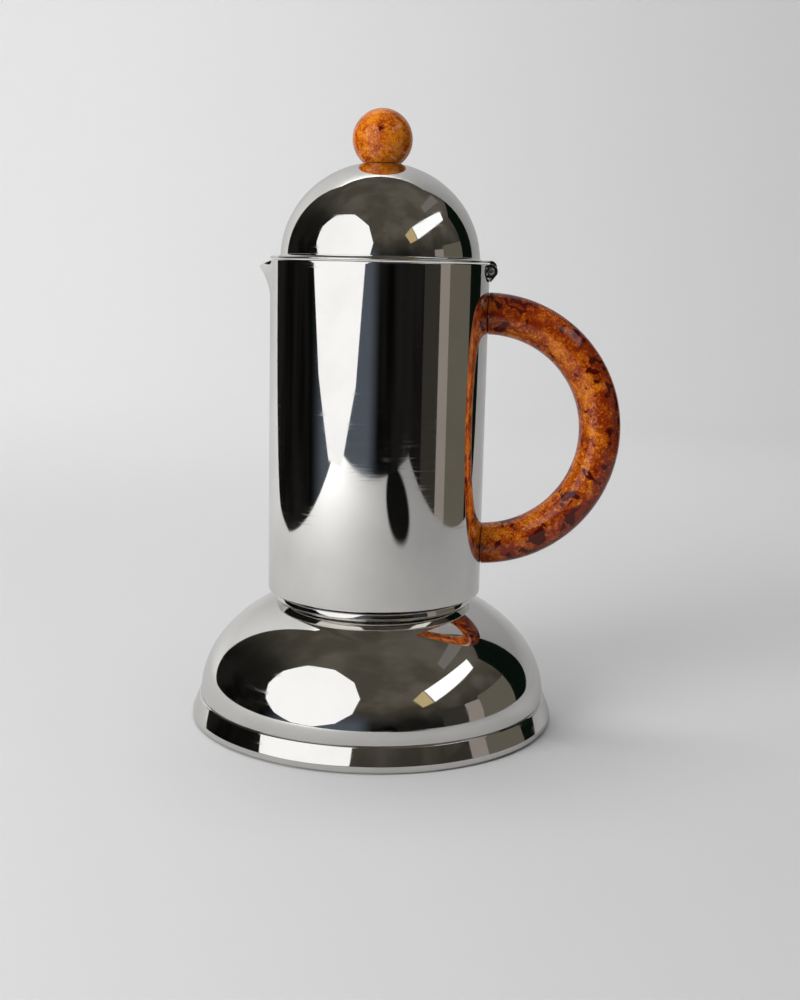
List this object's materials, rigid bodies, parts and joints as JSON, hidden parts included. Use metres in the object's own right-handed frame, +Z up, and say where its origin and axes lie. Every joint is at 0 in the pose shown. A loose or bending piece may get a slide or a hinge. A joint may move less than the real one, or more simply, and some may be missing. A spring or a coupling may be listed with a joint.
{
  "type": "stovetop moka pot",
  "caption": "Polished steel stovetop moka pot with a wide domed boiler, a straight screwed-on jug, a half-ring resin handle and a hinged domed lid with a ball knob.",
  "frame": {"origin": "centre of the flat underside, on the pot's axis", "axes": "+Z up along the pot's axis, +X towards the handle and the lid's hinge, -X towards the spout"},
  "size_m": [0.163, 0.14, 0.2308],
  "materials": {
    "polished_steel": "mirror-polished stainless steel",
    "inner_steel": "turned or pressed stainless steel, satin",
    "brass": "turned brass",
    "resin": "glossy orange-brown tortoiseshell resin with dark red-brown mottling",
    "rubber": "off-white food-grade rubber",
    "fibre": "red fibre washer"
  },
  "bodies": {
    "boiler": {"thermal_disc": "inner_steel", "base_pan": "polished_steel", "boiler_dome": "polished_steel", "boiler_neck": "polished_steel", "valve_body": "brass", "valve_washer": "fibre", "valve_nut": "brass", "valve_seat": "brass", "valve_spring": "inner_steel"},
    "relief_pin": {"valve_pin": "brass"},
    "basket": {"filter_basket": "inner_steel", "basket_strainer": "inner_steel"},
    "jug": {"jug_shell": "polished_steel", "jug_floor": "inner_steel", "jug_ring": "inner_steel", "gasket": "rubber", "filter_plate": "inner_steel", "coffee_column": "polished_steel", "column_cap": "polished_steel", "handle_grip": "resin", "handle_screw_upper": "polished_steel", "handle_screw_lower": "polished_steel", "handle_washer_upper": "rubber", "handle_washer_lower": "rubber", "hinge_bracket": "polished_steel", "hinge_pin": "polished_steel"},
    "lid": {"lid_dome": "polished_steel", "lid_leaf": "polished_steel", "knob": "resin", "knob_screw": "inner_steel", "knob_washer": "inner_steel"}
  },
  "joints": [
    {"name": "jug_turn", "type": "hinge", "parent": "boiler", "child": "basket", "pos_m": [0, 0, 0], "axis": [0, 0, 1], "range_deg": [0, 900]},
    {"name": "jug_lift", "type": "slide", "parent": "basket", "child": "jug", "axis": [0, 0, 1], "range_m": [0, 0.01]},
    {"name": "lid_hinge", "type": "hinge", "parent": "jug", "child": "lid", "pos_m": [0.041, 0, 0.17253], "axis": [0, 1, 0], "range_deg": [0, 105]},
    {"name": "valve_pin_slide", "type": "slide", "parent": "boiler", "child": "relief_pin", "axis": [0, 0.7966, 0.6045], "range_m": [0, 0.0015], "stiffness_N_per_m": 600}
  ],
  "couplings": [
    {"joint": "jug_lift", "follows": "jug_turn", "m_per_rad": 0.00063661}
  ]
}
